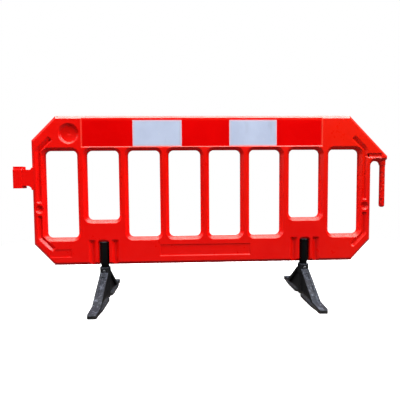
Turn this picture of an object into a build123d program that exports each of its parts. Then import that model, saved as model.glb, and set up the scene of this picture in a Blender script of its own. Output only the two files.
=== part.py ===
from build123d import *
import os

os.makedirs("parts", exist_ok=True)

# Open-frame pedestrian barrier: one hollow blow-moulded plastic panel with eight
# windows, a link sleeve at one end and a hook with a drop pin at the other,
# reflective sheets on both faces, and two feet that swivel on round posts.
#
# Frame: X along the panel (sleeve end -X, hook end +X), front face towards -Y,
# +Z up, origin on the ground under the middle of the panel. Millimetres.

# ---------------------------------------------------------------- dimensions
# panel
HEIGHT = 1000.0          # ground to top edge
PANEL_BOTTOM = 192.5     # ground to underside of the panel
HALF = 930.0             # half width of the panel without sleeve and hook
T = 54.0                 # thickness, front face to rear face
EDGE_CH = 16.0           # chamfer round the outline and every window
TOP_CORNER = 129.0       # cut at the top corner of the sleeve end
HOOK_CORNER = 122.0      # and of the hook end, where it runs on into the hook
LOW_CORNER = 107.0       # width of the cut at the two bottom corners
LOW_CORNER_H = 116.0     # and its height
WALL = 3.5               # wall of the moulding

# windows
PITCH = 222.0            # window to window
N_WINDOWS = 8
WINDOW_W = 174.0
WINDOW_TOP = 815.0
WINDOW_LOW = 341.0       # sill of the six long windows
WINDOW_LOW_SHORT = 436.5 # sill of the two windows above the feet
WINDOW_R = 27.0
SHORT_WINDOWS = (1, 6)

# reflective band
BAND_LEFT, BAND_RIGHT = -666.0, 653.0   # ends of the recess at the face
BAND_LOW = 831.0         # lower edge of the recess at the face
BAND_DEPTH = 3.5
BAND_SLOPE = 9.0         # width of the sloping shoulder at its ends
BAND_SLOPE_LOW = 5.0     # and along its lower edge
SHEET_EDGES = (-656.5, -389.0, -123.5, 134.0, 396.0, 643.5)
SHEET_LOW, SHEET_TOP = 836.5, 976.0
SHEET_T = 0.6
SHEET_GAP = 1.0
SHEET_R = 2.5

# end grooves, dimples and dish
GROOVE_X = 891.0
GROOVE_HALF, GROOVE_FLOOR = 15.0, 3.5
GROOVE_DEPTH = 11.5
DIMPLE_Z, DIMPLE_R, DIMPLE_FLOOR_R, DIMPLE_DEPTH = 500.0, 23.0, 11.0, 13.0
DISH_X, DISH_Z, DISH_R, DISH_FLOOR_R = -728.5, 905.5, 55.5, 43.0
DISH_WALL, DISH_DEPTH = 12.0, 15.5

# name-plate recess and corner recess
PLATE_HALF, PLATE_LOW, PLATE_TOP, PLATE_DEPTH = 250.0, 236.0, 300.0, 3.0

# link sleeve (at -X)
SLEEVE_X = -1003.5
SLEEVE_W = 53.0
SLEEVE_LOW, SLEEVE_SHOULDER, SLEEVE_TOP = 614.5, 721.0, 731.5
SLEEVE_BORE_R = 17.0
STEM_LOW, STEM_TOP = 627.0, 714.0

# hook and drop pin (at +X)
PIN_X = 1004.0
PIN_R = 14.5
PIN_LOW = 490.0
ROOT_LOW, ROOT_R = 723.5, 16.5   # where the pin thickens into the hook arm
ARM_UNDER = 749.0
NOSE_X, NOSE_Z = 1025.0, 777.0
GAP_R = 24.0

# foot posts and their sockets
POST_X = 2.5 * PITCH     # under the two short windows
POST_R = 25.0
POST_LOW, POST_TOP = 193.0, 318.0
NECK_R = 21.7
SPIGOT_R = 20.0          # lower spigot, in the foot
SPIGOT_LOW = 120.0
PIVOT_R = 15.0           # upper spigot, in the panel
CEILING_TOP = 348.0      # top of the solid block that carries it
BARB_R, BARB_H = 17.0, 15.0
SOCKET_GAP = 0.4
THROAT_Y = 17.0          # the socket's walls are parallel as far as this
THROAT_HALF = 27.0
POCKET_HALF = 30.5
POCKET_TOP = 331.0
FLUTE_X = 62.0           # relief flutes each side of a post
FLUTE_HALF, FLUTE_FLOOR, FLUTE_DEPTH = 19.0, 5.0, 13.0

# feet
FOOT_HALF = 285.0        # half length of a foot
HUB_R, HUB_LOW, HUB_TOP = 29.5, 126.0, 176.0
COLUMN_R = 25.0
WEB_HALF = 10.0
PLATE_W_HALF = 22.0
TOE_HALF = 23.0
TOE_START = 198.0
TOE_Z_IN, TOE_Z_OUT = 27.0, 21.0
RAIL_HALF, RAIL_H = 30.0, 13.0
ARCH_Y, ARCH_H = 30.0, 7.0
BOLT_Z, BOLT_R = 158.0, 4.0
HEX_AF, HEAD_H, NUT_H = 13.0, 5.3, 6.8
WASHER_R, WASHER_T = 8.0, 1.6


def band_outline(points, half, end):
    """Closed outline of a strip of half width `half` that follows `points`,
    reaching `end` past the first and last point."""
    pts = [Vector(*p) for p in points]
    d0 = (pts[1] - pts[0]).normalized()
    d1 = (pts[-1] - pts[-2]).normalized()
    pts[0] = pts[0] - d0 * end
    pts[-1] = pts[-1] + d1 * end
    left, right = [], []
    for i, p in enumerate(pts):
        if i == 0:
            d = d0
            n = Vector(-d.Y, d.X) * half
        elif i == len(pts) - 1:
            d = d1
            n = Vector(-d.Y, d.X) * half
        else:
            a = (p - pts[i - 1]).normalized()
            b = (pts[i + 1] - p).normalized()
            m = (Vector(-a.Y, a.X) + Vector(-b.Y, b.X)).normalized()
            n = m * (half / m.dot(Vector(-a.Y, a.X)))
        left.append(p + n)
        right.append(p - n)
    return [(v.X, v.Y) for v in left + right[::-1]]


def face_plane(depth, front):
    """Plane parallel to the panel's faces, `depth` below the front or rear face.
    Its x axis is X and its y axis is Z on the front, so that sketches read alike."""
    y = -T / 2 + depth if front else T / 2 - depth
    return Plane(origin=(0, y, 0), x_dir=(1, 0, 0), z_dir=(0, -1, 0))


outline = [
    (-HALF + TOP_CORNER, HEIGHT),
    (HALF - HOOK_CORNER, HEIGHT),
    (NOSE_X, NOSE_Z),
    (NOSE_X, 761.0),
    (1013.0, ARM_UNDER),
    (HALF + GAP_R, ARM_UNDER),
]
outline_rest = [
    (HALF, ARM_UNDER - GAP_R),
    (HALF, PANEL_BOTTOM + LOW_CORNER_H),
    (HALF - LOW_CORNER, PANEL_BOTTOM),
    (-HALF + LOW_CORNER, PANEL_BOTTOM),
    (-HALF, PANEL_BOTTOM + LOW_CORNER_H),
    (-HALF, HEIGHT - TOP_CORNER),
    (-HALF + TOP_CORNER, HEIGHT),
]
windows = []
for i in range(N_WINDOWS):
    low = WINDOW_LOW_SHORT if i in SHORT_WINDOWS else WINDOW_LOW
    windows.append(((i - (N_WINDOWS - 1) / 2) * PITCH, low))

# strips that the grooves follow, on the +X end; the -X end mirrors them
groove_runs = [
    [(830.0, 875.0), (GROOVE_X, 814.0), (GROOVE_X, 543.0)],
    [(GROOVE_X, 457.0), (GROOVE_X, 349.0), (826.0, 284.0)],
]
arm_groove = [(GROOVE_X + 4.0, 779.0), (980.0, 779.0)]

# ---------------------------------------------------------------- inner cavity
# The air space of the moulding, one wall inside the panel, its windows, its
# recesses and its foot sockets. Sleeve, hook nose and drop pin stay solid.
INNER_CH = EDGE_CH - WALL * (2.0 - 2.0 ** 0.5)
with BuildPart() as cavity:
    with BuildSketch(Plane.XZ):
        with BuildLine():
            c = WALL * (2.0 ** 0.5 - 1.0)
            Polyline(
                (-HALF + TOP_CORNER + c, HEIGHT - WALL),
                (HALF - TOP_CORNER - c, HEIGHT - WALL),
                (HALF - WALL, HEIGHT - TOP_CORNER - c),
                (HALF - WALL, PANEL_BOTTOM + LOW_CORNER_H + c),
                (HALF - LOW_CORNER - c, PANEL_BOTTOM + WALL),
                (-HALF + LOW_CORNER + c, PANEL_BOTTOM + WALL),
                (-HALF + WALL, PANEL_BOTTOM + LOW_CORNER_H + c),
                (-HALF + WALL, HEIGHT - TOP_CORNER - c),
                close=True,
            )
        make_face()
        for xc, low in windows:
            with Locations((xc, (WINDOW_TOP + low) / 2)):
                RectangleRounded(
                    WINDOW_W + 2 * WALL, WINDOW_TOP - low + 2 * WALL,
                    WINDOW_R + WALL, mode=Mode.SUBTRACT,
                )
    extrude(amount=T / 2 - WALL, both=True)
    sides = cavity.faces().filter_by(Axis.Y).sort_by(Axis.Y)
    chamfer(sides[0].edges() + sides[-1].edges(), length=INNER_CH)
    # thinner behind the reflective band
    for front in (True, False):
        with BuildSketch(face_plane(-1.0, front)):
            with Locations(((BAND_LEFT + BAND_RIGHT) / 2, 915)):
                Rectangle(BAND_RIGHT - BAND_LEFT + 2 * WALL, 2 * (915 - BAND_LOW) + 2 * WALL)
        extrude(amount=-(BAND_DEPTH + WALL + 1.0) if front else (BAND_DEPTH + WALL + 1.0),
                mode=Mode.SUBTRACT)
        # behind the grooves
        for s in (1, -1):
            for run in groove_runs:
                with BuildSketch(face_plane(-1.0, front)):
                    with BuildLine():
                        Polyline(*band_outline([(s * x, z) for x, z in run],
                                               GROOVE_HALF + WALL, GROOVE_HALF + WALL),
                                 close=True)
                    make_face()
                extrude(amount=-(GROOVE_DEPTH + WALL + 1.0) if front
                        else (GROOVE_DEPTH + WALL + 1.0), mode=Mode.SUBTRACT)
        # behind the dimples
        with BuildSketch(face_plane(-1.0, front)):
            with Locations((GROOVE_X, DIMPLE_Z), (-GROOVE_X, DIMPLE_Z)):
                Rectangle(2 * (DIMPLE_R + WALL), 2 * (DIMPLE_R + 3 * WALL))
        extrude(amount=-(DIMPLE_DEPTH + WALL + 1.0) if front
                else (DIMPLE_DEPTH + WALL + 1.0), mode=Mode.SUBTRACT)
        # behind the flutes and the plate recess
        with BuildSketch(face_plane(-1.0, front)):
            with Locations((POST_X, 262), (-POST_X, 262)):
                Rectangle(2 * (FLUTE_X + FLUTE_HALF + WALL), 146)
        extrude(amount=-(FLUTE_DEPTH + WALL + 1.0) if front
                else (FLUTE_DEPTH + WALL + 1.0), mode=Mode.SUBTRACT)
        with BuildSketch(face_plane(-1.0, front)):
            with Locations((0, (PLATE_LOW + PLATE_TOP) / 2)):
                Rectangle(2 * (PLATE_HALF + WALL), PLATE_TOP - PLATE_LOW + 2 * WALL)
            with Locations((-787, 259)):
                Rectangle(128, 52)
        extrude(amount=-(PLATE_DEPTH + WALL + 1.0) if front
                else (PLATE_DEPTH + WALL + 1.0), mode=Mode.SUBTRACT)
    # behind the dish
    with BuildSketch(face_plane(-1.0, True)):
        with Locations((DISH_X, DISH_Z)):
            Circle(DISH_R + WALL + 2.0)
    extrude(amount=-(DISH_DEPTH + WALL + 1.0), mode=Mode.SUBTRACT)
    # round the foot sockets, and solid next to the link sleeve's stem
    with BuildSketch(Plane.XZ):
        with Locations((POST_X, (189 + CEILING_TOP) / 2), (-POST_X, (189 + CEILING_TOP) / 2)):
            Rectangle(2 * (POCKET_HALF + WALL), CEILING_TOP - 189)
    extrude(amount=T, both=True, mode=Mode.SUBTRACT)

# ---------------------------------------------------------------- barrier body
with BuildPart() as barrier_body:
    with BuildSketch(Plane.XZ):
        with BuildLine():
            Polyline(*outline)
            RadiusArc(outline[-1], outline_rest[0], -GAP_R)
            Polyline(*outline_rest)
        make_face()
        for xc, low in windows:
            with Locations((xc, (WINDOW_TOP + low) / 2)):
                RectangleRounded(WINDOW_W, WINDOW_TOP - low, WINDOW_R,
                                 mode=Mode.SUBTRACT)
    extrude(amount=T / 2, both=True)
    sides = barrier_body.faces().filter_by(Axis.Y).sort_by(Axis.Y)
    chamfer(sides[0].edges() + sides[-1].edges(), length=EDGE_CH)

    # stem of the link sleeve, with its fillets into the upright
    with BuildSketch(Plane.XZ):
        with BuildLine():
            Polyline((-900, STEM_TOP + 11), (-HALF, STEM_TOP + 11))
            RadiusArc((-HALF, STEM_TOP + 11), (-HALF - 11, STEM_TOP), 11)
            Polyline((-HALF - 11, STEM_TOP), (SLEEVE_X + 25, STEM_TOP),
                     (SLEEVE_X + 25, STEM_LOW), (-HALF - 22, STEM_LOW))
            RadiusArc((-HALF - 22, STEM_LOW), (-HALF, STEM_LOW - 22), 22)
            Polyline((-HALF, STEM_LOW - 22), (-900, STEM_LOW - 22),
                     (-900, STEM_TOP + 11))
        make_face()
    extrude(amount=T / 2 - 1.5, both=True)

    # link sleeve: block with a set-back rim round its mouth
    with BuildSketch(Plane.XY.offset(SLEEVE_LOW)):
        with Locations((SLEEVE_X, 0)):
            RectangleRounded(SLEEVE_W, T, 9)
    extrude(amount=SLEEVE_SHOULDER - SLEEVE_LOW - 9)
    with BuildSketch(Plane.XY.offset(SLEEVE_SHOULDER - 9)):
        with Locations((SLEEVE_X, 0)):
            RectangleRounded(SLEEVE_W, T, 9)
    with BuildSketch(Plane.XY.offset(SLEEVE_SHOULDER)):
        with Locations((SLEEVE_X, 0)):
            RectangleRounded(SLEEVE_W - 4, T - 7, 6)
    loft()
    with BuildSketch(Plane.XY.offset(SLEEVE_SHOULDER)):
        with Locations((SLEEVE_X, 0)):
            RectangleRounded(SLEEVE_W - 4, T - 7, 6)
    extrude(amount=SLEEVE_TOP - SLEEVE_SHOULDER)
    with BuildSketch(Plane.XY.offset(SLEEVE_LOW - 1)):
        with Locations((SLEEVE_X, 0)):
            Circle(SLEEVE_BORE_R)
    extrude(amount=SLEEVE_TOP - SLEEVE_LOW + 2, mode=Mode.SUBTRACT)

    # drop pin with a rounded tip, running up into the hook arm
    with BuildSketch(Plane.XZ):
        with BuildLine():
            tip = PIN_R - 3.0
            Polyline((PIN_X, ARM_UNDER + 26), (PIN_X, PIN_LOW), (PIN_X + 3.0, PIN_LOW))
            ThreePointArc((PIN_X + 3.0, PIN_LOW),
                          (PIN_X + 3.0 + tip * 0.5 ** 0.5, PIN_LOW + tip * (1 - 0.5 ** 0.5)),
                          (PIN_X + PIN_R, PIN_LOW + tip))
            Polyline((PIN_X + PIN_R, PIN_LOW + tip), (PIN_X + PIN_R, ROOT_LOW),
                     (PIN_X + ROOT_R, ROOT_LOW + 5.0),
                     (PIN_X + ROOT_R, ARM_UNDER + 26), (PIN_X, ARM_UNDER + 26))
        make_face()
    revolve(axis=Axis((PIN_X, 0, 0), (0, 0, 1)))

    # web that rounds the corner between the hook arm and the pin
    with BuildSketch(Plane.XZ):
        with BuildLine():
            g = PIN_X - PIN_R
            Polyline((g, ARM_UNDER - 22), (g + 8, ARM_UNDER - 22),
                     (g + 8, ARM_UNDER + 4), (g - 22, ARM_UNDER + 4),
                     (g - 22, ARM_UNDER))
            RadiusArc((g - 22, ARM_UNDER), (g, ARM_UNDER - 22), 22)
        make_face()
    extrude(amount=T / 2 - EDGE_CH - 1.0, both=True)

    for front in (True, False):
        # recess for the reflective band, open to the top chamfer
        with BuildSketch(face_plane(0.0, front)):
            with Locations(((BAND_LEFT + BAND_RIGHT) / 2, (BAND_LOW + 1060) / 2)):
                Rectangle(BAND_RIGHT - BAND_LEFT, 1060 - BAND_LOW)
        with BuildSketch(face_plane(BAND_DEPTH, front)):
            with Locations(((BAND_LEFT + BAND_RIGHT) / 2, (BAND_LOW + BAND_SLOPE_LOW + 1060) / 2)):
                Rectangle(BAND_RIGHT - BAND_LEFT - 2 * BAND_SLOPE,
                          1060 - BAND_LOW - BAND_SLOPE_LOW)
        loft(ruled=True, mode=Mode.SUBTRACT)

        # grooves that follow the outline at both ends
        for s in (1, -1):
            for run in groove_runs:
                pts = [(s * x, z) for x, z in run]
                bend = Vector(pts[1][0], pts[1][1])
                for half, end, depth in ((GROOVE_HALF, GROOVE_HALF * 0.6, 0.0),
                                         (GROOVE_FLOOR, 0.0, GROOVE_DEPTH)):
                    with BuildSketch(face_plane(depth, front)) as strip:
                        with BuildLine():
                            Polyline(*band_outline(pts, half, end), close=True)
                        make_face()
                        # ends rounded; the bend's two sides are concentric arcs
                        def at_bend(v):
                            return (Vector(v.X, v.Y) - bend).length < 2.0 * half
                        fillet([v for v in strip.vertices() if not at_bend(v)], half * 0.6)
                        fillet([v for v in strip.vertices()
                                if at_bend(v) and abs(v.X) > abs(bend.X)], 24 + half)
                        fillet([v for v in strip.vertices()
                                if at_bend(v) and abs(v.X) < abs(bend.X)
                                and (Vector(v.X, v.Y) - bend).length < 1.2 * half],
                               24 - half)
                loft(ruled=True, mode=Mode.SUBTRACT)
        # groove along the hook arm
        with BuildSketch(face_plane(0.0, front)) as mouth:
            with BuildLine():
                Polyline(*band_outline(arm_groove, 14.0, 8.0), close=True)
            make_face()
            fillet(mouth.vertices(), 8)
        with BuildSketch(face_plane(8.0, front)) as floor:
            with BuildLine():
                Polyline(*band_outline(arm_groove, 4.0, 0.0), close=True)
            make_face()
            fillet(floor.vertices(), 2.4)
        loft(ruled=True, mode=Mode.SUBTRACT)
        # round dimples between the two runs of each groove
        for s in (1, -1):
            with BuildSketch(face_plane(0.0, front)):
                with Locations((s * GROOVE_X, DIMPLE_Z)):
                    Circle(DIMPLE_R)
            with BuildSketch(face_plane(DIMPLE_DEPTH, front)):
                with Locations((s * GROOVE_X, DIMPLE_Z)):
                    Circle(DIMPLE_FLOOR_R)
            loft(ruled=True, mode=Mode.SUBTRACT)

        # blank name-plate recess
        with BuildSketch(face_plane(0.0, front)):
            with Locations((0, (PLATE_LOW + PLATE_TOP) / 2)):
                Rectangle(2 * PLATE_HALF, PLATE_TOP - PLATE_LOW)
        with BuildSketch(face_plane(PLATE_DEPTH, front)):
            with Locations((0, (PLATE_LOW + PLATE_TOP) / 2)):
                Rectangle(2 * PLATE_HALF - 8, PLATE_TOP - PLATE_LOW - 8)
        loft(ruled=True, mode=Mode.SUBTRACT)

        # flutes each side of the foot sockets, running out at the underside
        for xc in (-POST_X - FLUTE_X, -POST_X + FLUTE_X,
                   POST_X - FLUTE_X, POST_X + FLUTE_X):
            with BuildSketch(face_plane(0.0, front)):
                with Locations((xc, 240.5)):
                    RectangleRounded(2 * FLUTE_HALF, 181, 9)
            with BuildSketch(face_plane(FLUTE_DEPTH, front)):
                with Locations((xc, 235.5)):
                    RectangleRounded(2 * FLUTE_FLOOR, 171, 4)
            loft(ruled=True, mode=Mode.SUBTRACT)

        # flared mouths of the foot sockets, open at the bottom
        for xc in (-POST_X, POST_X):
            with BuildSketch(face_plane(0.0, front)):
                with Locations((xc, (POCKET_TOP + 130) / 2)):
                    RectangleRounded(2 * POCKET_HALF, POCKET_TOP - 130, 18)
            with BuildSketch(face_plane(T / 2 - THROAT_Y, front)):
                with Locations((xc, (POST_TOP + SOCKET_GAP + 130) / 2)):
                    RectangleRounded(2 * THROAT_HALF,
                                     POST_TOP + SOCKET_GAP - 130, 2)
            loft(ruled=True, mode=Mode.SUBTRACT)

    # parallel middle of each socket, and the bore for the post's upper spigot
    with BuildSketch(Plane.XZ):
        with Locations((POST_X, (POST_TOP + SOCKET_GAP + 130) / 2),
                       (-POST_X, (POST_TOP + SOCKET_GAP + 130) / 2)):
            RectangleRounded(2 * THROAT_HALF, POST_TOP + SOCKET_GAP - 130, 2)
    extrude(amount=THROAT_Y + 0.5, both=True, mode=Mode.SUBTRACT)

    # corner recess, front only
    with BuildSketch(face_plane(0.0, True)):
        with Locations((-787, 259)):
            Rectangle(118, 42)
    extrude(amount=-2.0, mode=Mode.SUBTRACT)

    # dish, front only: steep rim and a slightly hollow floor
    with BuildSketch(Plane.XY.offset(DISH_Z)):
        with BuildLine():
            f = -T / 2
            bow = DISH_DEPTH - DISH_WALL
            ball = (DISH_FLOOR_R ** 2 + bow ** 2) / (2 * bow)
            mid = DISH_FLOOR_R / 2
            Polyline((DISH_X, f + DISH_DEPTH), (DISH_X, f - 2), (DISH_X + DISH_R + 2, f - 2),
                     (DISH_X + DISH_FLOOR_R, f + DISH_WALL))
            ThreePointArc((DISH_X + DISH_FLOOR_R, f + DISH_WALL),
                          (DISH_X + mid, f + DISH_DEPTH - ball
                           + (ball ** 2 - mid ** 2) ** 0.5),
                          (DISH_X, f + DISH_DEPTH))
        make_face()
    revolve(axis=Axis((DISH_X, 0, DISH_Z), (0, 1, 0)), mode=Mode.SUBTRACT)

    # hollow, with each pivot bore opening into it
    add(cavity.part, mode=Mode.SUBTRACT)
    with BuildSketch(Plane.XY.offset(POST_TOP - 5)):
        with Locations((POST_X, 0), (-POST_X, 0)):
            Circle(PIVOT_R + 0.08)
    extrude(amount=CEILING_TOP - POST_TOP + 10, mode=Mode.SUBTRACT)

barrier_body.part.label = "barrier_body"
export_step(barrier_body.part, "parts/barrier_body.step")
print("barrier_body", barrier_body.part.volume / 1e6, "l",
      len(barrier_body.part.solids()), "solids", barrier_body.part.is_valid)

# ---------------------------------------------------------------- reflective sheets
sheet_names = ("red_left", "white_left", "red_centre", "white_right", "red_right")
for face_name in ("front", "rear"):
    front = face_name == "front"
    for k, name in enumerate(sheet_names):
        # on each face the sheets run the same way as seen from the front
        x0 = SHEET_EDGES[k] + SHEET_GAP / 2
        x1 = SHEET_EDGES[k + 1] - SHEET_GAP / 2
        with BuildPart() as sheet:
            with BuildSketch(face_plane(BAND_DEPTH, front)):
                with Locations(((x0 + x1) / 2, (SHEET_LOW + SHEET_TOP) / 2)):
                    RectangleRounded(x1 - x0, SHEET_TOP - SHEET_LOW, SHEET_R)
            extrude(amount=SHEET_T if front else -SHEET_T)
        label = f"{face_name}_sheet_{name}"
        sheet.part.label = label
        export_step(sheet.part, f"parts/{label}.step")

# ---------------------------------------------------------------- feet and posts
slope_out = Vector(0, TOE_START, TOE_Z_IN)     # end of the sloping arm
slope_in = Vector(0, 31.0, 151.0)              # where it leaves the hub

for side, xc in (("left", -POST_X), ("right", POST_X)):
    # swivel post: lower spigot in the foot's hub, neck, barrel in the panel's
    # socket, and an upper spigot whose barbed head snaps in above the block
    with BuildPart() as post:
        with BuildSketch(Plane.XZ):
            with BuildLine():
                h = CEILING_TOP + 1.0
                Polyline(
                    (xc, SPIGOT_LOW), (xc + SPIGOT_R - 1.5, SPIGOT_LOW),
                    (xc + SPIGOT_R, SPIGOT_LOW + 1.5), (xc + SPIGOT_R, HUB_TOP + 1),
                    (xc + NECK_R, POST_LOW - 9), (xc + NECK_R, POST_LOW - 4),
                    (xc + POST_R - 1.0, POST_LOW), (xc + POST_R, POST_LOW + 3),
                    (xc + POST_R, POST_TOP - 2.5),
                    (xc + POST_R - 2.5, POST_TOP), (xc + PIVOT_R, POST_TOP),
                    (xc + PIVOT_R, h), (xc + BARB_R, h), (xc + BARB_R, h + 3),
                    (xc + PIVOT_R - 2, h + BARB_H), (xc, h + BARB_H),
                    close=True,
                )
            make_face()
        revolve(axis=Axis((xc, 0, 0), (0, 0, 1)))
        # slot that lets the barbed head close as it is pushed in
        with BuildSketch(Plane.XZ):
            with Locations((xc, h + BARB_H - 19)):
                Rectangle(6.0, 40.0)
        extrude(amount=30, both=True, mode=Mode.SUBTRACT)
        with BuildSketch(Plane.XZ):
            with Locations((xc, BOLT_Z)):
                Circle(BOLT_R + 0.25)
        extrude(amount=60, both=True, mode=Mode.SUBTRACT)
    post.part.label = f"{side}_post"
    export_step(post.part, f"parts/{side}_post.step")

    with BuildPart() as foot:
        # web in side view, arched clear of the ground in the middle
        with BuildSketch(Plane.YZ.offset(xc)):
            with BuildLine():
                Polyline(
                    (-FOOT_HALF + 6, 0), (-ARCH_Y - 14, 0), (-ARCH_Y + 4, ARCH_H),
                    (ARCH_Y - 4, ARCH_H), (ARCH_Y + 14, 0), (FOOT_HALF - 6, 0),
                    (FOOT_HALF - 6, TOE_Z_OUT - 1), (TOE_START, TOE_Z_IN - 1),
                    (31.0, 148.0), (-31.0, 148.0), (-TOE_START, TOE_Z_IN - 1),
                    (-FOOT_HALF + 6, TOE_Z_OUT - 1),
                    close=True,
                )
            make_face()
        extrude(amount=WEB_HALF, both=True)
        # hub column and collar
        with BuildSketch(Plane.XY.offset(ARCH_H)):
            with Locations((xc, 0)):
                Circle(COLUMN_R)
        extrude(amount=HUB_LOW - ARCH_H + 4)
        with BuildSketch(Plane.XY.offset(HUB_LOW - 12)):
            with Locations((xc, 0)):
                Circle(COLUMN_R)
        with BuildSketch(Plane.XY.offset(HUB_LOW)):
            with Locations((xc, 0)):
                Circle(HUB_R)
        loft()
        with BuildSketch(Plane.XY.offset(HUB_LOW)):
            with Locations((xc, 0)):
                Circle(HUB_R)
        extrude(amount=HUB_TOP - HUB_LOW)
        chamfer(foot.edges().filter_by(GeomType.CIRCLE).sort_by(Axis.Z)[-1], length=2.0)
        for s in (-1, 1):
            # capping plate down each arm
            with BuildSketch(Plane.YZ.offset(xc)):
                with BuildLine():
                    Polyline(
                        (s * 20.0, 159.0 - 12.0), (s * 31.0, 151.0),
                        (s * TOE_START, TOE_Z_IN),
                        (s * (TOE_START + 6), 8.0), (s * (TOE_START - 16), 14.0),
                        (s * 36.0, 132.0), (s * 20.0, 132.0),
                        close=True,
                    )
                make_face()
            extrude(amount=PLATE_W_HALF, both=True)
            # toe block
            with BuildSketch(Plane.YZ.offset(xc)):
                with BuildLine():
                    Polyline(
                        (s * (TOE_START - 10), 0), (s * FOOT_HALF, 0),
                        (s * FOOT_HALF, TOE_Z_OUT - 5), (s * (FOOT_HALF - 6), TOE_Z_OUT),
                        (s * TOE_START, TOE_Z_IN), (s * (TOE_START - 10), TOE_Z_IN - 6),
                        close=True,
                    )
                make_face()
            extrude(amount=TOE_HALF, both=True)
            # base rail, widest under the arm and drawn in to the toe
            with BuildSketch(Plane.XY):
                with BuildLine():
                    Polyline(
                        (xc - RAIL_HALF + 7, s * (ARCH_Y + 4)), (xc - RAIL_HALF, s * (ARCH_Y + 16)),
                        (xc - RAIL_HALF, s * 190.0), (xc - TOE_HALF, s * 246.0),
                        (xc - TOE_HALF, s * 262.0), (xc + TOE_HALF, s * 262.0),
                        (xc + TOE_HALF, s * 246.0), (xc + RAIL_HALF, s * 190.0),
                        (xc + RAIL_HALF, s * (ARCH_Y + 16)), (xc + RAIL_HALF - 7, s * (ARCH_Y + 4)),
                        close=True,
                    )
                make_face()
            extrude(amount=RAIL_H)
        # rounded toe corners
        fillet(
            foot.edges().filter_by(Axis.Z).filter_by(
                lambda e: abs(abs(e.center().Y) - FOOT_HALF) < 0.5), 9.0)
        # drainage channel down the top of each arm
        for s in (-1, 1):
            mid = Vector(xc, s * 104.0, 0)
            n = Vector(0, s * (slope_in.Z - slope_out.Z),
                       slope_out.Y - slope_in.Y).normalized()
            t = (mid.Y * s - slope_in.Y) / (slope_out.Y - slope_in.Y)
            mid = Vector(xc, mid.Y, slope_in.Z + t * (slope_out.Z - slope_in.Z))
            with BuildSketch(Plane(origin=mid, x_dir=(1, 0, 0), z_dir=n)):
                SlotOverall(126, 17, rotation=90)
            extrude(amount=-5.0, mode=Mode.SUBTRACT)
        # socket for the post's spigot
        with BuildSketch(Plane.XY.offset(HUB_TOP + 1)):
            with Locations((xc, 0)):
                Circle(SPIGOT_R + 0.05)
        extrude(amount=-(HUB_TOP + 1 - SPIGOT_LOW + 2), mode=Mode.SUBTRACT)
        # cross bolt hole with spot faces front and rear
        with BuildSketch(Plane.XZ):
            with Locations((xc, BOLT_Z)):
                Circle(BOLT_R + 0.25)
        extrude(amount=80, both=True, mode=Mode.SUBTRACT)
        for s in (-1, 1):
            with BuildSketch(Plane(origin=(0, s * (HUB_R - 2.5), 0), x_dir=(1, 0, 0),
                                   z_dir=(0, -1, 0))):
                with Locations((xc, BOLT_Z)):
                    Circle(WASHER_R + 1.5)
            extrude(amount=-s * 22.0, mode=Mode.SUBTRACT)
    foot.part.label = f"{side}_foot"
    export_step(foot.part, f"parts/{side}_foot.step")
    print(f"{side}_foot", foot.part.volume / 1e6, "l", len(foot.part.solids()),
          "solids", foot.part.is_valid)

    # cross bolt, washers and nut
    seat = HUB_R - 2.5
    with BuildPart() as bolt:
        with BuildSketch(Plane(origin=(xc, -seat - WASHER_T, BOLT_Z), x_dir=(1, 0, 0),
                               z_dir=(0, -1, 0))):
            RegularPolygon(HEX_AF / 2, 6, major_radius=False)
        extrude(amount=HEAD_H)
        chamfer(bolt.faces().sort_by(Axis.Y)[0].edges(), length=0.8)
        with BuildSketch(Plane(origin=(xc, -seat - WASHER_T, BOLT_Z), x_dir=(1, 0, 0),
                               z_dir=(0, 1, 0))):
            Circle(BOLT_R)
        extrude(amount=2 * (seat + WASHER_T) + NUT_H + 3.0)
        chamfer(bolt.faces().sort_by(Axis.Y)[-1].edges(), length=1.0)
    bolt.part.label = f"{side}_hub_bolt"
    export_step(bolt.part, f"parts/{side}_hub_bolt.step")

    with BuildPart() as washers:
        for s in (-1, 1):
            with BuildSketch(Plane(origin=(xc, s * seat, BOLT_Z), x_dir=(1, 0, 0),
                                   z_dir=(0, s, 0))):
                Circle(WASHER_R)
                Circle(BOLT_R + 0.3, mode=Mode.SUBTRACT)
            extrude(amount=WASHER_T)
    washers.part.label = f"{side}_hub_washers"
    export_step(washers.part, f"parts/{side}_hub_washers.step")

    with BuildPart() as nut:
        with BuildSketch(Plane(origin=(xc, seat + WASHER_T, BOLT_Z), x_dir=(1, 0, 0),
                               z_dir=(0, 1, 0))):
            RegularPolygon(HEX_AF / 2, 6, major_radius=False)
            Circle(BOLT_R + 0.02, mode=Mode.SUBTRACT)
        extrude(amount=NUT_H)
        chamfer(nut.faces().sort_by(Axis.Y)[-1].outer_wire().edges(), length=0.8)
    nut.part.label = f"{side}_hub_nut"
    export_step(nut.part, f"parts/{side}_hub_nut.step")
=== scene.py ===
import math

import bpy
from mathutils import Matrix, Vector


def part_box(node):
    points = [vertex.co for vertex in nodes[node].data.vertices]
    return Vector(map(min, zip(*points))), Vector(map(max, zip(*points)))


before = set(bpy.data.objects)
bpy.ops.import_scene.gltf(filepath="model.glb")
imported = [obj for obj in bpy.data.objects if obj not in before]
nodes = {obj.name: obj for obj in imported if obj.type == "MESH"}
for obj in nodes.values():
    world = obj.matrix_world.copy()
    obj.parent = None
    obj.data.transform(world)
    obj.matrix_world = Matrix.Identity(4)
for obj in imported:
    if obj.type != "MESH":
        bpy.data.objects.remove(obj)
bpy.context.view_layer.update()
scene = bpy.context.scene


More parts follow.
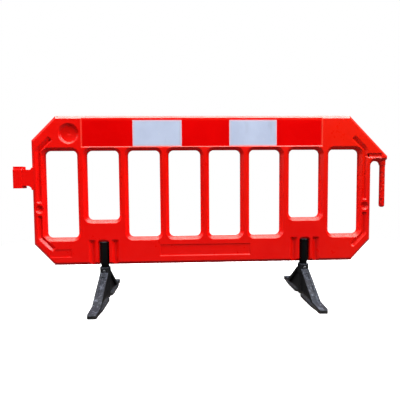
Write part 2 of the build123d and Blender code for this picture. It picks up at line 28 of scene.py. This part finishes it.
# ------------------------------------------------------------------ node helpers
class Mat:
    """A node material with short helpers for the links that every finish needs."""

    def __init__(self, name):
        self.m = bpy.data.materials.new(name)
        self.m.use_nodes = True
        self.t = self.m.node_tree
        self.t.nodes.clear()
        self.out = self.t.nodes.new("ShaderNodeOutputMaterial")
        self.bsdf = self.t.nodes.new("ShaderNodeBsdfPrincipled")
        self.t.links.new(self.bsdf.outputs[0], self.out.inputs["Surface"])
        self.co = self.t.nodes.new("ShaderNodeTexCoord").outputs["Object"]
        sep = self.t.nodes.new("ShaderNodeSeparateXYZ")
        self.t.links.new(self.co, sep.inputs[0])
        self.x, self.y, self.z = sep.outputs
        geo = self.t.nodes.new("ShaderNodeNewGeometry")
        self.normal = geo.outputs["Normal"]
        nsep = self.t.nodes.new("ShaderNodeSeparateXYZ")
        self.t.links.new(self.normal, nsep.inputs[0])
        self.nx, self.ny, self.nz = nsep.outputs

    def link(self, a, b):
        if isinstance(a, (int, float)):
            b.default_value = a
        elif isinstance(a, tuple):
            b.default_value = a
        else:
            self.t.links.new(a, b)

    def math(self, op, a, b=0.0, c=0.0, clamp=False):
        n = self.t.nodes.new("ShaderNodeMath")
        n.operation = op
        n.use_clamp = clamp
        self.link(a, n.inputs[0])
        self.link(b, n.inputs[1])
        if len(n.inputs) > 2:
            self.link(c, n.inputs[2])
        return n.outputs[0]

    def ramp(self, v, lo, hi, a=0.0, b=1.0):
        """v from lo to hi, mapped smoothly to a to b."""
        n = self.t.nodes.new("ShaderNodeMapRange")
        n.interpolation_type = "SMOOTHSTEP"
        self.link(v, n.inputs["Value"])
        self.link(lo, n.inputs["From Min"])
        self.link(hi, n.inputs["From Max"])
        self.link(a, n.inputs["To Min"])
        self.link(b, n.inputs["To Max"])
        return n.outputs[0]

    def noise(self, scale, detail=3.0, rough=0.55, vec=None, stretch=None):
        src = vec if vec is not None else self.co
        if stretch:
            mp = self.t.nodes.new("ShaderNodeMapping")
            mp.inputs["Scale"].default_value = stretch
            self.t.links.new(src, mp.inputs["Vector"])
            src = mp.outputs[0]
        n = self.t.nodes.new("ShaderNodeTexNoise")
        n.inputs["Scale"].default_value = scale
        n.inputs["Detail"].default_value = detail
        n.inputs["Roughness"].default_value = rough
        self.t.links.new(src, n.inputs["Vector"])
        return n.outputs["Fac"]

    def mix(self, f, a, b, blend="MIX"):
        n = self.t.nodes.new("ShaderNodeMix")
        n.data_type = "RGBA"
        n.blend_type = blend
        n.clamp_factor = True
        self.link(f, n.inputs[0])
        self.link(a, n.inputs[6])
        self.link(b, n.inputs[7])
        return n.outputs[2]

    def bump(self, height, strength, distance, normal=None):
        n = self.t.nodes.new("ShaderNodeBump")
        n.inputs["Strength"].default_value = strength
        n.inputs["Distance"].default_value = distance
        self.link(height, n.inputs["Height"])
        if normal is not None:
            self.t.links.new(normal, n.inputs["Normal"])
        return n.outputs[0]

    def put(self, **sockets):
        for k, v in sockets.items():
            self.link(v, self.bsdf.inputs[k.replace("_", " ")])


def rgb(r, g, b):
    """sRGB 0..255 to a linear colour."""
    def lin(c):
        c /= 255.0
        return c / 12.92 if c <= 0.04045 else ((c + 0.055) / 1.055) ** 2.4
    return (lin(r), lin(g), lin(b), 1.0)


# ------------------------------------------------------------------ barrier body
def body_material():
    k = Mat("barrier_red_polyethylene")
    cloud = k.noise(2.2, 4.0, 0.6)
    grain = k.noise(420.0, 2.0, 0.5)
    peel = k.noise(60.0, 3.0, 0.55)
    flow = k.noise(9.0, 5.0, 0.6, stretch=(1.0, 1.0, 0.25))
    base = k.mix(k.ramp(cloud, 0.35, 0.65), rgb(234, 5, 0), rgb(240, 14, 0))
    base = k.mix(k.ramp(flow, 0.45, 0.75, 0.0, 0.35), base, rgb(229, 3, 0))
    # brighter red towards the lower left, partly the plastic's own colour and partly painted light that
    # lifts the lower left, and more orange towards the upper right
    lift_lower_left = k.ramp(k.math("ADD", k.x, k.math("MULTIPLY", k.z, 1.5)), 1.2, -0.3)
    base = k.mix(k.math("MULTIPLY", lift_lower_left, 0.85), base, rgb(255, 6, 0))
    warm = k.math("MULTIPLY", k.ramp(k.x, 0.1, 0.9), k.ramp(k.z, 0.45, 0.85))
    base = k.mix(k.math("MULTIPLY", warm, 0.6), base, rgb(236, 30, 0))
    # dust that has settled in the lower part; faces that look up are painted pale pink, a painted highlight
    # of the light from above
    dust_and_painted_sheen = k.math("MULTIPLY", k.ramp(k.z, 0.45, 0.19), k.ramp(k.noise(14.0, 6.0, 0.7), 0.45, 0.8))
    up = k.math("MULTIPLY", k.ramp(k.nz, 0.45, 0.75), k.ramp(k.noise(25.0, 5.0, 0.7), 0.35, 0.65, 0.45, 1.0))
    base = k.mix(k.math("MULTIPLY", dust_and_painted_sheen, 0.015), base, rgb(190, 110, 90))
    base = k.mix(k.math("MULTIPLY", up, 0.26), base, rgb(240, 150, 134))
    # scuffs: short pale scratches along the panel
    scr = k.noise(30.0, 8.0, 0.75, stretch=(0.12, 1.0, 1.0))
    scr = k.math("MULTIPLY", k.ramp(scr, 0.66, 0.72), k.ramp(k.noise(3.0, 2.0), 0.5, 0.7))
    base = k.mix(k.math("MULTIPLY", scr, 0.08), base, rgb(240, 140, 120))
    # painted highlight: pale lines along the shoulders of the band recess, where light catches them
    high = k.ramp(k.z, 0.826, 0.832)
    ends = k.math("MINIMUM", k.math("ABSOLUTE", k.math("ADD", k.x, 0.6615)),
                  k.math("ABSOLUTE", k.math("SUBTRACT", k.x, 0.6485)))
    ends = k.math("MULTIPLY", k.ramp(ends, 0.0015, 0.0045, 1.0, 0.0), high)
    sill = k.ramp(k.math("ABSOLUTE", k.math("SUBTRACT", k.z, 0.8325)), 0.001, 0.0035, 1.0, 0.0)
    sill = k.math("MULTIPLY", sill, k.ramp(k.math("ABSOLUTE", k.math("ADD", k.x, 0.0065)),
                                           0.655, 0.661, 1.0, 0.0))
    shoulder_highlight = k.math("MULTIPLY", k.math("MAXIMUM", ends, sill),
                    k.ramp(k.noise(40.0, 4.0, 0.7), 0.25, 0.6, 0.5, 1.0))
    shoulder_highlight = k.math("MULTIPLY", shoulder_highlight, k.ramp(k.math("ABSOLUTE", k.y), 0.021, 0.0225))
    base = k.mix(k.math("MULTIPLY", shoulder_highlight, 0.45), base, rgb(246, 96, 76))
    # darker mottling on the drop pin and the hook's nose, and small pale spots on them
    nose = k.math("MULTIPLY", k.ramp(k.x, 0.975, 0.99), k.ramp(k.z, 0.79, 0.76))
    mott = k.math("MULTIPLY", nose, k.ramp(k.noise(75.0, 5.0, 0.75), 0.50, 0.62))
    base = k.mix(k.math("MULTIPLY", mott, 0.80), base, rgb(132, 4, 6))
    pale_spots = k.math("MULTIPLY", nose, k.ramp(k.noise(110.0, 4.0, 0.7), 0.60, 0.68))
    base = k.mix(k.math("MULTIPLY", pale_spots, 0.80), base, rgb(250, 118, 104))
    # parting line of the mould round every edge
    seam = k.ramp(k.math("ABSOLUTE", k.y), 0.0004, 0.0013, 1.0, 0.0)
    base = k.mix(k.math("MULTIPLY", seam, 0.25), base, rgb(150, 10, 4))
    k.put(Base_Color=base)
    rough = k.math("ADD", k.ramp(k.noise(18.0, 4.0, 0.6), 0.3, 0.7, 0.27, 0.35),
                   k.math("MULTIPLY", k.math("ADD", dust_and_painted_sheen, scr), 0.12), clamp=True)
    k.put(Roughness=rough)
    k.bsdf.inputs["IOR"].default_value = 1.5
    k.bsdf.inputs["Specular IOR Level"].default_value = 0.28
    # the tool's edges have a small radius
    round_edge = k.t.nodes.new("ShaderNodeBevel")
    round_edge.samples = 6
    round_edge.inputs["Radius"].default_value = 0.0022
    n = k.bump(peel, 0.25, 0.0012, round_edge.outputs[0])
    n = k.bump(grain, 0.18, 0.0003, n)
    n = k.bump(scr, 0.08, -0.0003, n)
    n = k.bump(seam, 0.6, 0.0004, n)
    k.put(Normal=n)
    return k.m


# ------------------------------------------------------------------ sheets
def sheet_material(name, lo, hi, white):
    """Retroreflective film: a fine field of sealed cells inside a plain border."""
    k = Mat(name)
    # distance from the sheet's own edge
    dx = k.math("MINIMUM", k.math("SUBTRACT", k.x, lo.x), k.math("SUBTRACT", hi.x, k.x))
    dz = k.math("MINIMUM", k.math("SUBTRACT", k.z, lo.z), k.math("SUBTRACT", hi.z, k.z))
    edge = k.math("MINIMUM", dx, dz)
    # cell field: hexagon-like cells about 4 mm across, from Voronoi cell edges
    comb = k.t.nodes.new("ShaderNodeCombineXYZ")
    k.link(k.x, comb.inputs[0])
    k.link(k.z, comb.inputs[1])
    vor = k.t.nodes.new("ShaderNodeTexVoronoi")
    vor.voronoi_dimensions = "2D"
    vor.feature = "DISTANCE_TO_EDGE"
    vor.inputs["Scale"].default_value = 260.0
    vor.inputs["Randomness"].default_value = 0.12
    k.t.links.new(comb.outputs[0], vor.inputs["Vector"])
    wall = k.ramp(vor.outputs["Distance"], 0.02, 0.10, 1.0, 0.0)
    cloud = k.noise(5.0, 3.0, 0.5)
    fine = k.noise(900.0, 2.0, 0.5)
    if white:
        field = k.mix(k.ramp(cloud, 0.35, 0.65), rgb(183, 195, 221), rgb(194, 206, 231))
        field = k.mix(k.math("MULTIPLY", wall, 0.35), field, rgb(214, 220, 236))
        streak = k.ramp(k.noise(16.0, 5.0, 0.65, stretch=(1.0, 1.0, 0.22)), 0.52, 0.72)
        field = k.mix(k.math("MULTIPLY", streak, 0.30), field, rgb(160, 168, 190))
        spots = k.ramp(k.noise(34.0, 4.0, 0.6), 0.62, 0.72)
        field = k.mix(k.math("MULTIPLY", spots, 0.35), field, rgb(206, 212, 228))
        rim = k.math("MULTIPLY", k.ramp(edge, 0.0055, 0.0085, 1.0, 0.0), 0.75)
        col = k.mix(rim, field, rgb(226, 194, 208))
        line = k.ramp(k.math("ABSOLUTE", k.math("SUBTRACT", edge, 0.0085)), 0.0004, 0.0012, 1.0, 0.0)
        col = k.mix(k.math("MULTIPLY", line, 0.35), col, rgb(170, 178, 205))
        cut = k.ramp(edge, 0.0, 0.0011, 1.0, 0.0)
        col = k.mix(k.math("MULTIPLY", cut, 0.8), col, rgb(224, 120, 132))
    else:
        field = k.mix(k.ramp(cloud, 0.35, 0.65), rgb(222, 0, 1), rgb(230, 0, 1))
        field = k.mix(k.math("MULTIPLY", wall, 0.30), field, rgb(230, 6, 5))
        rim = k.math("MULTIPLY", k.ramp(edge, 0.0035, 0.0055, 1.0, 0.0), 0.55)
        col = k.mix(rim, field, rgb(236, 14, 8))
        cut = k.ramp(edge, 0.0, 0.0011, 1.0, 0.0)
        col = k.mix(k.math("MULTIPLY", cut, 0.6), col, rgb(170, 0, 0))
    k.put(Base_Color=col)
    k.put(Roughness=k.math("ADD", k.ramp(cloud, 0.3, 0.7, 0.24, 0.32),
                           k.math("MULTIPLY", wall, 0.08)))
    k.bsdf.inputs["Specular IOR Level"].default_value = 0.05
    k.bsdf.inputs["Coat Weight"].default_value = 0.04
    k.bsdf.inputs["Coat Roughness"].default_value = 0.12
    inside = k.ramp(edge, 0.006, 0.009)
    n = k.bump(k.math("MULTIPLY", wall, inside), 0.25, 0.0002)
    n = k.bump(fine, 0.06, 0.0001, n)
    k.put(Normal=n)
    return k.m


# ------------------------------------------------------------------ feet, posts, bolts
def foot_material():
    k = Mat("foot_recycled_rubber")
    crumbs = k.t.nodes.new("ShaderNodeTexVoronoi")
    crumbs.feature = "F1"
    crumbs.inputs["Scale"].default_value = 240.0
    k.t.links.new(k.co, crumbs.inputs["Vector"])
    grain = k.noise(160.0, 4.0, 0.6)
    cloud = k.noise(16.0, 5.0, 0.65)
    base = k.mix(k.ramp(grain, 0.35, 0.7), rgb(12, 13, 15), rgb(24, 25, 28))
    # up-facing faces are painted bluish grey: dust, and a painted sheen of the light from above
    up = k.ramp(k.nz, 0.25, 0.85)
    dust_and_painted_sheen = k.math("MULTIPLY", up, k.ramp(cloud, 0.25, 0.62, 0.45, 1.0))
    base = k.mix(k.math("MULTIPLY", dust_and_painted_sheen, 0.55), base, rgb(46, 53, 66))
    blot = k.math("MULTIPLY", up, k.ramp(k.noise(70.0, 5.0, 0.7), 0.50, 0.64))
    base = k.mix(k.math("MULTIPLY", blot, 0.65), base, rgb(108, 114, 128))
    pits = k.math("MULTIPLY", up, k.ramp(k.noise(95.0, 5.0, 0.7), 0.52, 0.42))
    base = k.mix(k.math("MULTIPLY", pits, 0.75), base, rgb(22, 24, 30))
    speck = k.math("MULTIPLY", k.ramp(crumbs.outputs["Distance"], 0.10, 0.22, 1.0, 0.0),
                   k.ramp(k.noise(40.0, 3.0), 0.5, 0.65))
    base = k.mix(k.math("MULTIPLY", speck, 0.35), base, rgb(140, 142, 146))
    low = k.math("MULTIPLY", k.ramp(k.z, 0.03, 0.0), k.ramp(cloud, 0.35, 0.7))
    base = k.mix(k.math("MULTIPLY", low, 0.5), base, rgb(104, 100, 94))
    k.put(Base_Color=base)
    k.put(Roughness=k.ramp(cloud, 0.3, 0.7, 0.62, 0.78))
    k.bsdf.inputs["Specular IOR Level"].default_value = 0.3
    n = k.bump(crumbs.outputs["Distance"], 0.35, 0.0006)
    n = k.bump(grain, 0.3, 0.0008, n)
    k.put(Normal=n)
    return k.m


def post_material():
    k = Mat("post_black_plastic")
    rings = k.noise(300.0, 3.0, 0.6, stretch=(0.05, 0.05, 1.0))
    rub = k.noise(14.0, 5.0, 0.7)
    base = k.mix(k.ramp(rub, 0.4, 0.75), rgb(6, 7, 7), rgb(13, 13, 14))
    scr = k.math("MULTIPLY", k.ramp(rings, 0.6, 0.72), k.ramp(rub, 0.4, 0.6))
    base = k.mix(k.math("MULTIPLY", scr, 0.16), base, rgb(80, 80, 84))
    # up-facing faces such as the post's top are painted pale grey: a painted highlight of the light from
    # above
    dust_and_painted_sheen = k.math("MULTIPLY", k.ramp(k.nz, 0.4, 0.9), k.ramp(rub, 0.2, 0.6, 0.5, 1.0))
    base = k.mix(k.math("MULTIPLY", dust_and_painted_sheen, 0.75), base, rgb(112, 112, 116))
    k.put(Base_Color=base)
    k.put(Roughness=k.math("ADD", k.ramp(rub, 0.3, 0.7, 0.36, 0.46),
                           k.math("MULTIPLY", scr, 0.15)))
    k.bsdf.inputs["Specular IOR Level"].default_value = 0.15
    n = k.bump(rings, 0.15, 0.0003)
    n = k.bump(k.noise(220.0, 3.0), 0.12, 0.0003, n)
    k.put(Normal=n)
    return k.m


def zinc_material():
    k = Mat("fastener_zinc_plate")
    cloud = k.noise(60.0, 5.0, 0.65)
    grain = k.noise(700.0, 3.0, 0.6)
    base = k.mix(k.ramp(cloud, 0.35, 0.7), rgb(150, 152, 157), rgb(108, 110, 116))
    spot = k.ramp(k.noise(140.0, 6.0, 0.8), 0.62, 0.74)
    base = k.mix(k.math("MULTIPLY", spot, 0.5), base, rgb(104, 82, 66))
    k.put(Base_Color=base)
    k.put(Metallic=k.math("SUBTRACT", 1.0, k.math("MULTIPLY", spot, 0.6)))
    k.put(Roughness=k.math("ADD", k.ramp(cloud, 0.3, 0.7, 0.28, 0.42),
                           k.math("MULTIPLY", spot, 0.3)))
    k.put(Normal=k.bump(grain, 0.15, 0.0002))
    return k.m


def assign(obj, mat):
    obj.data.materials.clear()
    obj.data.materials.append(mat)


red = body_material()
rubber = foot_material()
black = post_material()
zinc = zinc_material()
assign(nodes["barrier_body"], red)
for name, obj in nodes.items():
    if "_sheet_" in name:
        lo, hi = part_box(name)
        assign(obj, sheet_material("film_" + name, lo, hi, "white" in name))
    elif name.endswith("_foot"):
        assign(obj, rubber)
    elif name.endswith("_post"):
        assign(obj, black)
    elif "_hub_" in name:
        assign(obj, zinc)


# ------------------------------------------------------------------ camera
yaw, pitch, roll = map(math.radians, (-2.191, 2.87, 0.484))
cy, sy = math.cos(yaw), math.sin(yaw)
cp, sp = math.cos(pitch), math.sin(pitch)
cr, sr = math.cos(roll), math.sin(roll)
Rz = Matrix(((cy, -sy, 0), (sy, cy, 0), (0, 0, 1)))
Rx = Matrix(((1, 0, 0), (0, cp, sp), (0, -sp, cp)))
Ry = Matrix(((cr, 0, sr), (0, 1, 0), (-sr, 0, cr)))
R = Rz @ Rx @ Ry
right, fwd, up = R.col[0], R.col[1], R.col[2]
cam_data = bpy.data.cameras.new("camera")
cam = bpy.data.objects.new("camera", cam_data)
scene.collection.objects.link(cam)
rot = Matrix((right, up, -fwd)).transposed().to_4x4()
cam.matrix_world = Matrix.Translation((-0.1082, -1.7996, 0.652)) @ rot
cam_data.sensor_width = 36.0
cam_data.lens = 36.0 * 325.0 / 400.0
cam_data.shift_x = (200.0 - 197.7) / 400.0
cam_data.shift_y = (196.2 - 200.0) / 400.0
cam_data.dof.use_dof = False
cam_data.clip_start, cam_data.clip_end = 0.05, 60.0
scene.camera = cam

# ------------------------------------------------------------------ floor and light
bpy.ops.mesh.primitive_plane_add(size=60.0, location=(0, 0, 0))
floor = bpy.context.active_object
floor.name = "studio_floor"
fm = Mat("studio_floor_pale")
tone = fm.noise(0.8, 2.0)
fm.put(Base_Color=fm.mix(fm.ramp(tone, 0.3, 0.7), rgb(232, 232, 233), rgb(238, 238, 239)))
fm.bsdf.inputs["Roughness"].default_value = 0.9
fm.bsdf.inputs["Specular IOR Level"].default_value = 0.1
# the floor looks pale but sends little light back up, like a floor further away,
# and runs into the white background with distance
dim = fm.t.nodes.new("ShaderNodeBsdfDiffuse")
dim.inputs["Color"].default_value = (0.10, 0.10, 0.105, 1.0)
glow = fm.t.nodes.new("ShaderNodeEmission")
glow.inputs["Color"].default_value = (1.0, 1.0, 1.0, 1.0)
glow.inputs["Strength"].default_value = 0.60
plus = fm.t.nodes.new("ShaderNodeAddShader")
fm.t.links.new(fm.bsdf.outputs[0], plus.inputs[0])
fm.t.links.new(glow.outputs[0], plus.inputs[1])
far = fm.t.nodes.new("ShaderNodeEmission")
far.inputs["Color"].default_value = (1.0, 1.0, 1.0, 1.0)
reach = fm.math("SQRT", fm.math("ADD", fm.math("POWER", fm.x, 2.0), fm.math("POWER", fm.y, 2.0)))
seen_floor = fm.t.nodes.new("ShaderNodeMixShader")
fm.link(fm.ramp(reach, 1.0, 2.6), seen_floor.inputs[0])
fm.t.links.new(plus.outputs[0], seen_floor.inputs[1])
fm.t.links.new(far.outputs[0], seen_floor.inputs[2])
path = fm.t.nodes.new("ShaderNodeLightPath")
dark = fm.t.nodes.new("ShaderNodeBsdfDiffuse")
dark.inputs["Color"].default_value = (0.05, 0.05, 0.05, 1.0)
soft = fm.t.nodes.new("ShaderNodeMixShader")
fm.t.links.new(path.outputs["Is Glossy Ray"], soft.inputs[0])
fm.t.links.new(dim.outputs[0], soft.inputs[1])
fm.t.links.new(dark.outputs[0], soft.inputs[2])
pick = fm.t.nodes.new("ShaderNodeMixShader")
fm.t.links.new(path.outputs["Is Camera Ray"], pick.inputs[0])
fm.t.links.new(soft.outputs[0], pick.inputs[1])
fm.t.links.new(seen_floor.outputs[0], pick.inputs[2])
fm.t.links.new(pick.outputs[0], fm.out.inputs["Surface"])
floor.data.materials.append(fm.m)


def area(name, loc, target, size, radiance, color=(1, 1, 1)):
    """A soft box of that radiance, so that its power follows from its size."""
    d = bpy.data.lights.new(name, "AREA")
    d.shape = "RECTANGLE"
    d.size, d.size_y = size
    d.energy = radiance * math.pi * size[0] * size[1]
    d.color = color
    o = bpy.data.objects.new(name, d)
    scene.collection.objects.link(o)
    o.location = loc
    o.rotation_euler = (Vector(target) - Vector(loc)).to_track_quat("-Z", "Y").to_euler()
    return o


area("overhead", (0.2, 0.05, 3.0), (0.2, 0.05, 0.0), (5.2, 1.7), 10.0)
area("key", (2.5, -3.1, 4.6), (0.1, 0.0, 0.6), (1.5, 1.5), 35.0)
area("fill", (-4.5, -1.7, 2.8), (0.0, 0.0, 0.6), (1.8, 1.8), 7.5)

world = bpy.data.worlds.new("studio")
scene.world = world
world.use_nodes = True
wt = world.node_tree
bg = wt.nodes["Background"]
bg.inputs["Color"].default_value = (1.0, 1.0, 1.0, 1.0)
wco = wt.nodes.new("ShaderNodeTexCoord")
wsep = wt.nodes.new("ShaderNodeSeparateXYZ")
wt.links.new(wco.outputs["Generated"], wsep.inputs[0])
wmap = wt.nodes.new("ShaderNodeMapRange")
wt.links.new(wsep.outputs[2], wmap.inputs["Value"])
wmap.inputs["From Min"].default_value = 0.35
wmap.inputs["From Max"].default_value = 0.9
wmap.inputs["To Min"].default_value = 0.06
wmap.inputs["To Max"].default_value = 0.6
wt.links.new(wmap.outputs[0], bg.inputs["Strength"])
seen = wt.nodes.new("ShaderNodeBackground")
seen.inputs["Color"].default_value = (1.0, 1.0, 1.0, 1.0)
seen.inputs["Strength"].default_value = 1.0
wpath = wt.nodes.new("ShaderNodeLightPath")
wmix = wt.nodes.new("ShaderNodeMixShader")
wt.links.new(wpath.outputs["Is Camera Ray"], wmix.inputs[0])
wt.links.new(bg.outputs[0], wmix.inputs[1])
wt.links.new(seen.outputs[0], wmix.inputs[2])
wt.links.new(wmix.outputs[0], wt.nodes["World Output"].inputs["Surface"])
scene.view_settings.view_transform = "Standard"
scene.view_settings.look = "None"
